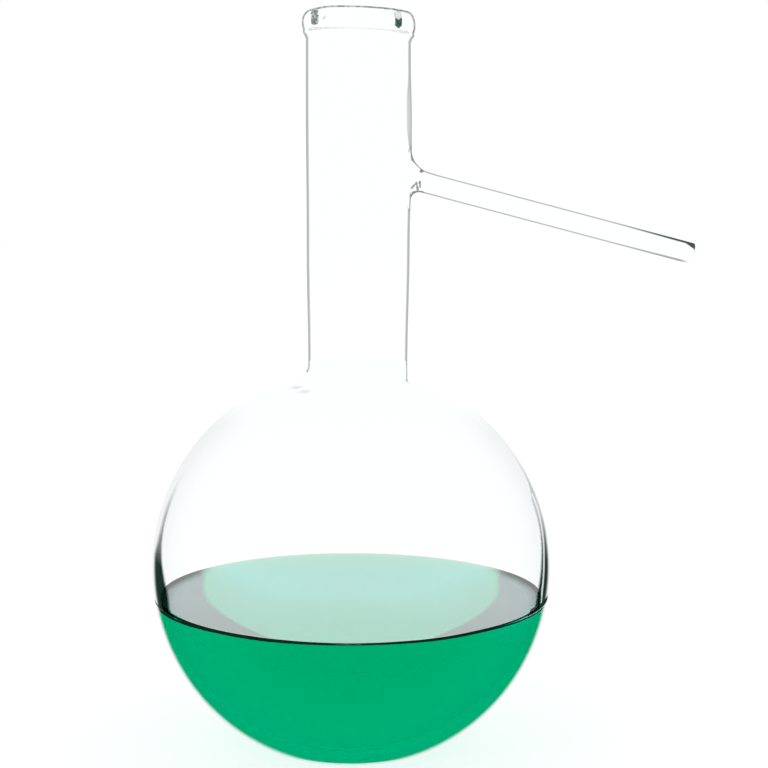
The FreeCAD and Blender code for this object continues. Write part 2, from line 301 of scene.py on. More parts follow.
@dataclass(frozen=True)
class ClearGlass(Finish):
    """Polished clear glass with painted shade where it is seen on edge, on the side that faces the eye: its
    colour darkens by how obliquely it is seen.

    The painted dark edge begins where the glass faces away by start and is whole by full, and rim is the
    painted pale line outside it. Waves and drift make it uneven, mottle and grain speckle it, and a painted
    grey shade greys it softly further in. Split says how much of it a painted light line takes out, and quiet
    how little the glass mirrors.
    """

    start: float = 0.66
    full: float = 0.74
    # The colour of the painted shade along the glass's edges.
    ink: Colour = (0.40, 0.43, 0.415)
    body: Colour = (0.998, 0.999, 1.0)
    shadow: Colour = (0.96, 0.97, 0.965)
    glint: Colour = (0.05, 0.05, 0.05)
    index: float = 1.473
    quiet: float = 0.96
    rim: tuple[float, float] = (0.80, 0.91)
    rim_light: float = 0.95
    waves: float = 0.03
    drift: float = 38.0
    mottle: float = 0.0
    grain: float = 900.0
    haze: float = 0.0
    haze_facing: tuple[float, float] = (0.40, 0.85)
    haze_fringe: tuple[float, float] = (-0.7, -0.1)
    split: float = 0.65

    def shade(self, graph: Graph) -> dict[str, Term]:
        """Adds the shader's nodes.

        Args:
            graph: The material's nodes.

        Returns:
            What feeds the material's output, by socket.
        """
        facing = graph.node("ShaderNodeLayerWeight", None, {"Blend": 0.5}, "Facing")
        shift, ink, clear, fringe, gap = (graph.read(number.name) for number in fields(Edge))
        place = graph.node("ShaderNodeTexCoord", output="Object")
        drift = graph.node("ShaderNodeTexNoise", None, {"Vector": place, "Scale": self.drift, "Detail": 2.0})
        specks = graph.node("ShaderNodeTexNoise", None, {"Vector": place, "Scale": self.grain, "Detail": 1.0})
        leaving = graph.node("ShaderNodeNewGeometry", output="Backfacing")
        # Painted shade: the colour darkens by Layer Weight Facing, and the painted pale rim and light line
        # take some out.
        edge = graph.smooth(facing + shift + (drift - 0.5) * self.waves, self.start, self.full)
        rim = graph.smooth(facing + fringe, *self.rim)
        light = 1 - (1 - graph.smooth(abs(gap), 0.3, 1.0)) * self.split
        speckled = 1 - graph.smooth(specks, 0.42, 0.58) * self.mottle
        dark = edge * ink * light * (1 - rim * self.rim_light) * speckled
        # Painted grey shade, softly further in from the edge.
        haze = graph.smooth(facing, *self.haze_facing) * graph.smooth(fringe, *self.haze_fringe) * self.haze
        dark = dark.maximum(haze) * (1 - leaving)
        glass = graph.node(
            "ShaderNodeBsdfPrincipled",
            None,
            {
                "Base Color": graph.mix(dark, self.body, self.ink),
                "Roughness": 0.0,
                "IOR": self.index,
                "Transmission Weight": 1.0,
                "Specular Tint": self.glint,
            },
        )
        bent = {"Roughness": 0.0, "IOR": self.index}
        # The painted shade also tints the light that goes straight on or is bent.
        hues = (self.body, self.ink)
        unlit, straight = (
            graph.blend(dark, *(graph.node(kind, None, {"Color": hue, **more}) for hue in hues))
            for kind, more in (("ShaderNodeBsdfRefraction", bent), ("ShaderNodeBsdfTransparent", {}))
        )
        thick = graph.blend((1 - leaving) * self.quiet, glass, unlit)
        glass = graph.blend(clear.maximum(rim).maximum(leaving), thick, straight)
        return {"Surface": graph.blend(graph.path("Is Shadow Ray"), glass, graph.straight(self.shadow))}


@dataclass(frozen=True)
class FusedSeam(Finish):
    """The face along which two pieces of glass are melted into one, which nothing shows."""

    def shade(self, graph: Graph) -> dict[str, Term]:
        """Lets all light through, unchanged."""
        return {"Surface": graph.straight(WHITE)}


class LiquidFace(Enum):
    """The kinds of face that the liquid has besides its body: the mesh carries 1 on each under this name."""

    SHORE = "shore"
    MENISCUS = "meniscus"
    OPEN = "open"


@dataclass(frozen=True)
class GreenLiquid(Finish):
    """A clear dyed liquid: red is gone within a centimetre or two, and green goes furthest.

    Where it creeps up the glass, its thin edge has painted shade from outside, a dark matt sheet, and is pale
    from above. The open surface has painted light and shade in its colour for what stands over it: the near
    tint lies in front, the far one towards the back and the flanks, and a painted grey shade beside the
    surface's middle, outside an edge that curves in at the front.
    """

    density: float = 510.0
    dye: Colour = (0.0, 0.9857, 0.9704)
    glint: Colour = (0.05, 0.05, 0.05)
    shadow: Colour = (0.75, 0.95, 0.85)
    # Painted light and shade: tints of the open surface's colour, and the dark matt sheet at its edge.
    near: Colour = (1.0, 0.70, 0.75)
    deep: Colour = (0.2, 0.33, 0.11)
    beside: Colour = (0.1, 0.02, 0.02)
    shore_ink: Colour = (0.007, 0.028, 0.018)
    mint: Colour = (0.80, 0.87, 0.76)
    index: float = 1.333
    sheen_index: float = 4.0
    sheen: tuple[float, float] = (0.82, 0.18)
    back: float = 58 * MM
    flank: tuple[float, float] = (15 * MM, 55 * MM)
    beside_edge: tuple[float, float] = (49 * MM, 51 * MM)
    beside_from: float = 20 * MM
    beside_bow: float = 4.5
    beside_splay: float = 0.15

    def shade(self, graph: Graph) -> dict[str, Term]:
        """Adds the shader's nodes.

        Args:
            graph: The material's nodes.

        Returns:
            What feeds the material's output, by socket.
        """
        place = graph.node("ShaderNodeTexCoord", output="Object")
        across, back = (graph.node("ShaderNodeSeparateXYZ", None, {0: place}, axis) for axis in "XY")
        leaving = graph.node("ShaderNodeNewGeometry", output="Backfacing")
        entering = 1 - leaving
        open_top = graph.read(LiquidFace.OPEN.value)
        seen = open_top * entering
        flank = graph.smooth(abs(across), *self.flank)
        # Painted light and shade: the surface's colour tints by place, near in front and far towards the back
        # and the flanks.
        tint = graph.mix(graph.smooth(back, -5 * MM, self.back).maximum(flank), self.near, self.deep)
        curve = (self.beside_from - back).maximum(0.0)
        splay = (back - self.beside_from).maximum(0.0) * self.beside_splay
        reach = abs(across) + curve * curve * self.beside_bow - splay
        # Painted grey shade beside the surface's middle.
        aside = graph.smooth(reach, *self.beside_edge) * seen
        front_sheen, more_behind = self.sheen
        liquid = graph.node(
            "ShaderNodeBsdfPrincipled",
            None,
            {
                "Base Color": graph.mix(aside, graph.mix(seen, WHITE, tint), self.beside),
                "Roughness": 0.0,
                "IOR": self.index,
                "Transmission Weight": 1.0,
                "Specular Tint": self.glint,
                "Coat Weight": seen * (graph.smooth(back, -40 * MM, self.back) * more_behind + front_sheen),
                "Coat Roughness": 0.0,
                "Coat IOR": self.sheen_index,
            },
        )
        wet = {"Color": WHITE, "Roughness": 0.0, "IOR": self.index}
        wetted = graph.node("ShaderNodeBsdfRefraction", None, wet)
        # A dark matt sheet of painted shade, at the shore and along the wall.
        matt = {"Base Color": self.shore_ink, "Roughness": 1.0, "Specular IOR Level": 0.0}
        dark = graph.node("ShaderNodeBsdfPrincipled", None, matt)
        shade = graph.read("ink") * seen
        body = graph.blend(entering * (1 - open_top), graph.blend(shade, liquid, dark), wetted)
        above = graph.blend(graph.read("ink"), graph.straight(self.mint), dark)
        creep = graph.blend(entering, liquid, above)
        body = graph.blend(graph.read(LiquidFace.MENISCUS.value), body, creep)
        # From outside the shore is the dark sheet of painted shade; from inside light goes straight on.
        shore = graph.blend(leaving, dark, graph.straight(WHITE))
        body = graph.blend(graph.read(LiquidFace.SHORE.value), body, shore)
        depth = graph.node("ShaderNodeVolumeAbsorption", None, {"Color": self.dye, "Density": self.density})
        surface = graph.blend(graph.path("Is Shadow Ray"), body, graph.straight(self.shadow))
        return {"Surface": surface, "Volume": depth}


@dataclass(frozen=True)
class PaleFloor(Finish):
    """A plain white floor that still takes the flask's shadow."""

    matt: float = 0.30
    glow: float = 0.78
    plain: float = 0.8

    def shade(self, graph: Graph) -> dict[str, Term]:
        """Adds the shader's nodes.

        Args:
            graph: The material's nodes.

        Returns:
            What feeds the material's output, by socket.
        """
        greys = (self.matt, self.plain)
        matt, plain = (graph.node("ShaderNodeBsdfDiffuse", None, {"Color": (grey,) * 3}) for grey in greys)
        lit = graph.node("ShaderNodeEmission", None, {"Color": WHITE, "Strength": self.glow})
        both = graph.node("ShaderNodeAddShader", None, {0: matt, 1: lit})
        return {"Surface": graph.blend(graph.background_rays(), plain, both)}


# ---------------------------------------------------------------- turned outlines


class Outline:
    """A section through a turned piece, drawn point by point as (radius, height)."""

    def __init__(self, radius: float, height: float) -> None:
        """Starts at one point."""
        self.points: list[tuple[float, float]] = [(radius, height)]

    def line(self, radius: float, height: float, spacing: float = 4 * MM) -> "Outline":
        """Draws a straight run.

        Args:
            radius: Where it ends.
            height: Where it ends.
            spacing: The most between two points.

        Returns:
            The outline itself.
        """
        r0, z0 = self.points[-1]
        count = max(1, math.ceil(math.hypot(radius - r0, height - z0) / spacing))
        for i in range(1, count + 1):
            self.points.append((r0 + (radius - r0) * i / count, z0 + (height - z0) * i / count))
        return self

    def arc(
        self, centre: tuple[float, float], radius: float, first: float, last: float, step: float = 1.5
    ) -> "Outline":
        """Draws an arc about a centre.

        Args:
            centre: Its middle, as (radius, height).
            radius: Its own radius.
            first: Where it starts, in degrees from +radius towards +height.
            last: Where it ends, in degrees.
            step: The most that one point turns, in degrees.

        Returns:
            The outline itself.
        """
        count = max(2, math.ceil(abs(last - first) / step))
        for i in range(0, count + 1):
            a = math.radians(first + (last - first) * i / count)
            point = (centre[0] + radius * math.cos(a), centre[1] + radius * math.sin(a))
            if math.dist(point, self.points[-1]) > 1e-6:
                self.points.append(point)
        return self

    def ease(self, radius: float, height: float, count: int = 12) -> "Outline":
        """Draws a run that starts and ends upright.

        Args:
            radius: Where it ends.
            height: Where it ends.
            count: How many points it has.

        Returns:
            The outline itself.
        """
        r0, z0 = self.points[-1]
        for i in range(1, count + 1):
            t = i / count
            s = t * t * (3 - 2 * t)
            self.points.append((r0 + (radius - r0) * s, z0 + (height - z0) * t))
        return self


class Closing(Enum):
    """How an outline ends: on the axis, or where it began."""

    ON_AXIS = "on_axis"
    RING = "ring"


def alone(obj: bpy.types.Object) -> None:
    """Makes one object active and the only one selected.

    Args:
        obj: The object.
    """
    bpy.ops.object.select_all(action="DESELECT")
    obj.select_set(True)
    bpy.context.view_layer.objects.active = obj


def turned(name: str, outline: Outline, closing: Closing, steps: int = 192) -> bpy.types.Object:
    """Turns an outline about the upright axis through the origin.

    Args:
        name: The object's name.
        outline: The section, which goes round the solid once.
        closing: Whether the section ends on the axis or where it began.
        steps: How many faces go round.

    Returns:
        The object, closed, with its faces outwards.
    """
    bpy.ops.object.select_all(action="DESELECT")
    count = len(outline.points)
    bpy.ops.mesh.primitive_circle_add(vertices=count, radius=outline.points[0][0] + MM, location=(0, 0, 0))
    obj = bpy.context.active_object
    obj.name = obj.data.name = name
    for vertex, (radius, height) in zip(obj.data.vertices, outline.points):
        vertex.co = (radius, 0, height)
    if closing is Closing.ON_AXIS:
        for edge in obj.data.edges:
            edge.select = set(edge.vertices) == {0, count - 1}
        for vertex in obj.data.vertices:
            vertex.select = vertex.index in (0, count - 1)
        bpy.ops.object.mode_set(mode="EDIT")
        bpy.ops.mesh.select_mode(type="EDGE")
        bpy.ops.mesh.delete(type="EDGE")
        bpy.ops.object.mode_set(mode="OBJECT")
    bpy.ops.object.mode_set(mode="EDIT")
    bpy.ops.mesh.select_mode(type="VERT")
    bpy.ops.mesh.select_all(action="SELECT")
    bpy.ops.mesh.spin(steps=steps, angle=TURN, center=(0, 0, 0), axis=(0, 0, 1))
    bpy.ops.mesh.select_all(action="SELECT")
    bpy.ops.mesh.remove_doubles(threshold=1e-6)
    bpy.ops.mesh.normals_make_consistent(inside=False)
    bpy.ops.object.mode_set(mode="OBJECT")
    return obj


def shift_points(obj: bpy.types.Object, rule: Callable[[Vector], Vector]) -> None:
    """Moves each point of a mesh.

    Args:
        obj: The object.
        rule: Gives a point's new place from its old one.
    """
    for vertex in obj.data.vertices:
        vertex.co = rule(vertex.co.copy())
    obj.data.update()


def smooth_step(value: float, low: float, high: float) -> float:
    """A smooth step from 0 at low to 1 at high."""
    t = min(1.0, max(0.0, (value - low) / (high - low)))
    return t * t * (3 - 2 * t)


def runs(value: float, *points: tuple[float, float]) -> float:
    """Reads a line of straight runs.

    Args:
        value: Where it is read.
        points: Its points, as (value, height), from left to right.

    Returns:
        Its height there, which is level before the first point and after the last.
    """
    (x0, y0), *rest = points
    for x1, y1 in rest:
        if value < x1:
            return y0 + (y1 - y0) * max(0.0, value - x0) / (x1 - x0)
        x0, y0 = x1, y1
    return y0


Rule = Callable[[Vector, Vector], Vector | None]
Edging = Callable[[Vector], Edge]


def finish_mesh(
    obj: bpy.types.Object,
    finishes: list[bpy.types.Material],
    which: Callable[[Vector, Vector], int],
    edging: Edging,
    wall_normal: Rule | None = None,
) -> None:
    """Shades a piece, gives each face its material, and writes how its edges show.

    Args:
        obj: The object.
        finishes: The materials, the main one first.
        which: Picks one of them by a face's middle and normal.
        edging: Says how the piece's edges show at a place.
        wall_normal: Gives the true normal at a corner from its place and its own normal, or None.
    """
    mesh = obj.data
    found = [edging(vertex.co) for vertex in mesh.vertices]
    for number in fields(Edge):
        layer = mesh.attributes.new(number.name, "FLOAT", "POINT")
        layer.data.foreach_set("value", [getattr(edge, number.name) for edge in found])
    mesh.materials.clear()
    for finish in finishes:
        mesh.materials.append(finish)
    for face in mesh.polygons:
        face.material_index = int(which(face.center, face.normal))
    alone(obj)
    bpy.ops.object.shade_smooth_by_angle(angle=math.radians(32))
    if wall_normal is not None:
        normals = [corner.vector.copy() for corner in mesh.corner_normals]
        for face in mesh.polygons:
            if face.material_index:
                continue
            for i in face.loop_indices:
                place = mesh.vertices[mesh.loops[i].vertex_index].co
                better = wall_normal(place, normals[i])
                if better is not None:
                    normals[i] = better
        mesh.normals_split_custom_set(normals)


# ---------------------------------------------------------------- sizes that several pieces share


@dataclass(frozen=True)
class BulbSizes:
    """The blown bulb."""

    radius: float = 65.5 * MM
    wall: float = 2.0 * MM
    flat: float = 25.0 * MM
    heel: float = 12.0 * MM
    shoulder: float = 3.5 * MM

    @property
    def centre(self) -> float:
        """The height of the bulb's middle."""
        return self.heel + math.sqrt((self.radius - self.heel) ** 2 - self.flat**2)


@dataclass(frozen=True)
class NeckSizes:
    """The neck and its bead."""

    offset: float = 1.9 * MM
    radius: float = 16.7 * MM
    foot_radius: float = 16.2 * MM
    wall: float = 2.0 * MM
    taper: float = 34.0 * MM
    bead_radius: float = 18.15 * MM
    lip_radius: float = 16.75 * MM
    lip_round: float = 0.8 * MM


@dataclass(frozen=True)
class ArmSizes:
    """The side arm and its root."""

    radius: float = 3.4 * MM
    root_radius: float = 3.7 * MM
    bore: float = 2.2 * MM
    slope: float = math.radians(14.5)
    below_lip: float = 48.8 * MM
    length: float = 112.5 * MM
    end_round: float = 0.45 * MM
    seal_radius: float = 10.5 * MM
    seal_reach: float = 27.0 * MM
    crotch: float = 7.5 * MM
    armpit: float = 2.7 * MM
    mouth: float = 1.4 * MM


BULB, NECK, ARM = BulbSizes(), NeckSizes(), ArmSizes()


def draw_bowl(outline: Outline, inset: float, top: float, *stops: float) -> Outline:
    """Draws half of the bulb's section from the axis outwards: flat base, heel and round.

    Args:
        outline: An outline that starts on the axis.
        inset: How far inside the outer surface it runs.
        top: Where the round ends, in degrees above the level.
        stops: Heights on the way at which it has a point.

    Returns:
        The outline.
    """
    turn = math.degrees(math.atan2(BULB.heel - BULB.centre, BULB.flat))
    outline.line(BULB.flat, inset)
    outline.arc((BULB.flat, BULB.heel), BULB.heel - inset, -90, turn, 3.0)
    for height in stops:
        stop = math.degrees(math.asin((height - BULB.centre) / (BULB.radius - inset)))
        outline.arc((0, BULB.centre), BULB.radius - inset, turn, stop)
        turn = stop
    return outline.arc((0, BULB.centre), BULB.radius - inset, turn, top)


# ---------------------------------------------------------------- sub-assemblies


@dataclass(frozen=True)
class Mark:
    """A small stroke of painted shade, which stands for what the uneven glass shows, from one point of (x, z)
    to another.
    """

    first: tuple[float, float]
    last: tuple[float, float]
    size: float
    ink: float = 1.0

    def covers(self, place: Vector) -> bool:
        """Whether the stroke runs over a place, seen from the front.

        Args:
            place: The place.

        Returns:
            True where it does.
        """
        run = Vector((self.last[0] - self.first[0], self.last[1] - self.first[1]))
        gap = Vector((place.x - self.first[0], place.z - self.first[1]))
        share = min(1.0, max(0.0, gap.dot(run) / max(run.length_squared, 1e-12)))
        return (gap - run * share).length < self.size


# Profiles of the painted dark line of shade round the liquid.
LINE_TOP: Profile = ((-0.9, 0.6), (-0.5, 0.65), (0, 1.05), (0.4, 0.65), (0.65, 0.3))
LINE_FOOT: Profile = ((-0.9, 0.5), (-0.65, 0.2), (-0.4, 0.4), (0, 0.2), (0.4, 0.15), (0.65, -0.28))


def shore_depths(place: Vector) -> tuple[float, float]:
    """How far below the contact the painted dark line round the liquid runs, which wanders in front.

    Both of its edges follow profiles of millimetres over the share of the bulb's half width.

    Args:
        place: A point on the wall.

    Returns:
        The depth of its upper and of its lower edge.
    """
    side = place.x / max(math.hypot(place.x, place.y), 1 * MM)
    front = 1 - smooth_step(place.y, -8 * MM, 10 * MM)
    upper, lower = (runs(side, *line) * front for line in (LINE_TOP, LINE_FOOT))
    return upper * MM, Filling.climb + lower * MM


def on_neck_axis(point: Vector) -> Vector:
    """Carries a point of a section turned about the bulb's axis to the neck's."""
    return point + Vector((NECK.offset, 0, 0))


@dataclass(frozen=True)
class DrawnNeck:
    """The small ways in which the hand-made neck isn't true: it swells about the arm and its mouth leans."""

    foot: float
    root: float
    bead: float
    rim: float
    swell: float = 0.5 * MM
    flare: float = 0.55 * MM
    dip: float = 0.6 * MM
    widen: float = 0.3 * MM
    lean: float = 0.029

    def by_hand(self, point: Vector) -> Vector:
        """Moves one point of the neck, the bead or the arm's root.

        Args:
            point: Where it is on a true neck.

        Returns:
            Where it is.
        """
        out = Vector((point.x - NECK.offset, point.y, 0))
        if out.length < MM:
            return point
        side = out.x / out.length
        above = point.z - self.root
        near = smooth_step(out.length, NECK.radius - NECK.wall, NECK.radius - 0.2 * MM)
        near *= 1 - smooth_step(out.length, NECK.radius + 3 * MM, ARM.seal_reach)
        rise = smooth_step(above, -26 * MM, 6 * MM) * (1 - smooth_step(above, 12 * MM, 36 * MM))
        wide = smooth_step(above, -22 * MM, 20 * MM) * (1 - 0.6 * smooth_step(above, 36 * MM, 46 * MM))
        push = self.swell * rise * smooth_step(side, 0.2, 0.9)
        push += self.widen * wide * smooth_step(-side, 0.1, 0.9)
        over = point.z - self.bead
        push += self.flare * smooth_step(over, -1.5 * MM, 0) * (1 - smooth_step(over, 0.4 * MM, 1.8 * MM))
        moved = point + out.normalized() * push * near
        tilt = self.lean * smooth_step(point.z, self.bead - 16 * MM, self.bead)
        moved.z -= tilt * out.x
        lip = smooth_step(point.z, self.rim - 3 * MM, self.rim)
        moved.z -= self.dip * smooth_step(-out.x, 9 * MM, 16.5 * MM) * lip
        return moved


@dataclass(kw_only=True)
class GlassPiece(ABC):
    """A piece of the flask's glass: a section, turned and then carried to its place."""

    node: str
    name: str
    closing: Closing = Closing.RING
    around: int = 192
    trued: bool = False
    marks: tuple[Mark, ...] = ()
    drawn: DrawnNeck | None = None

    @abstractmethod
    def outline(self) -> Outline:
        """The section that is turned."""

    @abstractmethod
    def carry(self, point: Vector) -> Vector:
        """The place of a point of the turned section."""

    @abstractmethod
    def is_seam(self, middle: Vector, normal: Vector) -> bool:
        """Whether a face is melted to a neighbour.

        Args:
            middle: The face's middle.
            normal: Its normal.

        Returns:
            True on such a face.
        """

    @abstractmethod
    def edging(self, place: Vector) -> Edge:
        """How the glass shows at a point of the piece."""

    def wall_normal(self, place: Vector, own: Vector) -> Vector | None:
        """The wall's true normal at a corner, which the cut beside it would bend.

        Args:
            place: The corner.
            own: Its own normal.

        Returns:
            The true normal, or None to keep its own.
        """
        return None

    def cut(self, obj: bpy.types.Object) -> None:
        """Cuts the piece's openings, if it has any, in the object."""

    def marked(self, place: Vector, spot: Vector) -> Edge | None:
        """The painted shade of a small stroke in front, where there is one.

        Args:
            place: A point of the piece.
            spot: The same point, from where the strokes are measured.

        Returns:
            The stroke's edge, or None.
        """
        for mark in self.marks:
            if place.y < 0 and mark.covers(spot):
                return Edge(1.0, mark.ink)
        return None

    def build(self, finish: Finish, seam: bpy.types.Material) -> bpy.types.Object:
        """Models and dresses the piece.

        Args:
            finish: Its glass.
            seam: The fused faces' material.

        Returns:
            The piece.
        """
        obj = turned(self.name, self.outline(), self.closing, self.around)
        shift_points(obj, self.carry)
        self.cut(obj)
        wall_normal = self.wall_normal if self.trued else None
        finish_mesh(obj, [finish.material(), seam], self.is_seam, self.edging, wall_normal)
        if self.drawn is not None:
            shift_points(obj, self.drawn.by_hand)
        return obj


@dataclass(kw_only=True)
class ArmNeighbour(GlassPiece):
    """A piece that is shaped about the arm's axis, which crosses the neck's at the root's height."""

    root: float

    @cached_property
    def arm(self) -> Matrix:
        """The matrix from the arm's own axes to the flask's.

        +Z runs along the arm from the neck's axis, and +X as near upwards as that allows.

        Returns:
            The matrix.
        """
        along = Vector((math.cos(ARM.slope), 0, -math.sin(ARM.slope)))
        above = Vector((math.sin(ARM.slope), 0, math.cos(ARM.slope)))
        side = along.cross(above)
        turn = Matrix((above, side, along)).transposed().to_4x4()
        return Matrix.Translation((NECK.offset, 0, self.root)) @ turn

    @cached_property
    def to_arm(self) -> Matrix:
        """The matrix from the flask's axes to the arm's own."""
        return self.arm.inverted()

    @cached_property
    def along(self) -> Vector:
        """The arm's direction."""
        return self.arm.col[2].xyz


@dataclass(kw_only=True)
class Bulb(GlassPiece):
    """The blown bulb, up to its seal with the neck.

    The profiles say how the painted dark line of shade on each side of the bulb changes with the height over
    the liquid, in millimetres. Inside the right one runs a painted light line, at light_at of the bulb's half
    width.
    """

    top: float
    contact: float
    node: str = "bulb"
    name: str = "glass_bulb"
    closing: Closing = Closing.ON_AXIS
    neck_line: float = 5.6 * MM
    neck_ink: float = 0.53
    settle: tuple[float, float] = (20 * MM, 46 * MM)
    heel_fringe: float = 0.2
    corner: float = 0.85
    left_shift: Profile = ((0, 0.13), (6, 0.15), (16, 0.085), (20, 0.065), (25, 0.052))
    left_ink: Profile = (
        (14, 1), (20, 0.82), (25, 0.7), (30, 0.62), (34, 0.43), (39, 0.22), (44, 0.1), (55, 0)
    )
    left_fringe: Profile = ((16, 0), (20, 0.045), (25, 0.07), (52, 0.07), (72, -1))
    right_shift: Profile = ((6, 0.107), (16, 0.072), (20, 0.052), (25, 0.035), (34, 0.035), (39, -0.055))
    right_ink: Profile = (
        (14, 1), (20, 0.92), (25, 0.68), (30, 0.48), (39, 0.45), (44, 0.3), (50, 0.13), (65, 0)
    )
    right_fringe: Profile = ((20, -0.02), (25, -0.05), (52, -0.05), (72, -1))
    light_at: Profile = ((6, 0.927), (16, 0.943), (20, 0.953), (25, 0.962), (30, 0.970))
    light_width: float = 0.0085
    light_top: float = 37

    def outline(self) -> Outline:
        """The section, as if the neck stood over the bulb's middle, with close rings about the contact.

        Returns:
            The section, which ends on the axis.
        """
        ring = NECK.foot_radius + BULB.shoulder
        reach = BULB.radius + BULB.shoulder
        height = BULB.centre + math.sqrt(reach**2 - ring**2)
        tangent = math.degrees(math.acos(ring / reach))
        stops = [self.contact + (step * 0.15 - 2.0) * MM for step in range(17)]
        drawn = draw_bowl(Outline(0, 0), 0, tangent, *stops)
        drawn.arc((ring, height), BULB.shoulder, 180 + tangent, 180, 6.0)
        drawn.line(NECK.foot_radius, self.top, 0.8 * MM)
        drawn.line(NECK.foot_radius - NECK.wall, self.top)
        drawn.line(NECK.foot_radius - NECK.wall, height, 0.8 * MM)
        drawn.arc((ring, height), BULB.shoulder + BULB.wall, 180, 180 + tangent, 6.0)
        inner = draw_bowl(Outline(0, BULB.wall), BULB.wall, tangent, *stops)
        for point in reversed(inner.points):
            if math.dist(point, drawn.points[-1]) > 1e-6:
                drawn.points.append(point)
        return drawn

    def carry(self, point: Vector) -> Vector:
        """Carries the shoulder over to the neck's own axis, along the round of the bulb.

        Args:
            point: A point of the turned section.

        Returns:
            Its place.
        """
        ring = math.hypot(point.x, point.y)
        if point.z < BULB.centre:
            return point
        share = 1 - smooth_step(ring, *self.settle)
        moved = Vector((point.x + NECK.offset * share, point.y, point.z))
        outer = math.hypot(ring, point.z - BULB.centre) > BULB.radius - BULB.wall / 2
        reach = BULB.radius if outer else BULB.radius - BULB.wall
        flat = moved.x**2 + moved.y**2
        drop = math.sqrt(reach**2 - flat) - math.sqrt(reach**2 - ring**2)
        fade = 1 - smooth_step(point.z, self.top - 2.5 * MM, self.top - 0.8 * MM)
        moved.z += drop * fade
        return moved

    def is_seam(self, middle: Vector, normal: Vector) -> bool:
        """The top, melted to the neck."""
        return normal.z > 0.9 and middle.z > self.top - 0.1 * MM

    def edging(self, place: Vector) -> Edge:
        """Painted dark edges, a painted reflection of the liquid in the wall, grow towards the liquid and
        stop at it.

        Args:
            place: A point of the bulb.

        Returns:
            How it shows.
        """
        above = place.z - self.contact
        outer = math.hypot(place.x, place.y, place.z - BULB.centre) > BULB.radius - BULB.wall / 2
        # A painted pale fringe along the heel.
        heel = self.heel_fringe * (1 - smooth_step(place.z, 1 * MM, 3 * MM))
        slant = abs(place.x) / max(math.hypot(place.x, place.y), 1 * MM)
        seen_above = (0.2 + 0.22 / math.sqrt(1 - min(slant, 0.88) ** 2)) * MM * outer
        shore = seen_above - sum(shore_depths(place)) / 2
        if above < shore:
            return Edge(clear=0.0, fringe=heel if outer or place.z < 1.5 * MM else -1.0)
        mark = self.marked(place, place)
        if mark is not None:
            return mark
        # Painted shade at the far edges just over the liquid.
        if outer and place.y < 0 and slant > self.corner and above < shore + 0.7 * MM:
            return Edge(1.0, 1.0)
        ring = math.hypot(place.x - NECK.offset, place.y)
        # A painted dark line of shade down the neck's stub.
        if place.z > self.top - self.neck_line and ring < NECK.foot_radius + 0.8 * MM:
            hollow = NECK.foot_radius + BULB.shoulder - ring, self.top - 2.4 * MM - place.z
            wall = hollow[1] < 0 or math.hypot(*hollow) < BULB.shoulder + BULB.wall / 2
            if not wall or ring <= NECK.foot_radius - NECK.wall / 2:
                return Edge()
            return Edge(0.02, self.neck_ink if place.x < 0 or hollow[1] < 0 else 0)
        if not outer:
            return Edge()
        height, side = above / MM, place.x / math.hypot(place.x, place.y)
        lines = self.right_shift, self.right_ink, self.right_fringe
        if side < 0:
            lines = self.left_shift, self.left_ink, self.left_fringe
        shift, ink, fringe = (runs(height, *line) for line in lines)
        gap = Edge.gap
        # A painted light line inside the right dark line.
        if side >= 0 and place.y <= 0 and 0 < height < self.light_top:
            gap = (side - runs(height, *self.light_at)) / self.light_width
        return Edge(shift, ink, fringe=fringe, gap=gap)


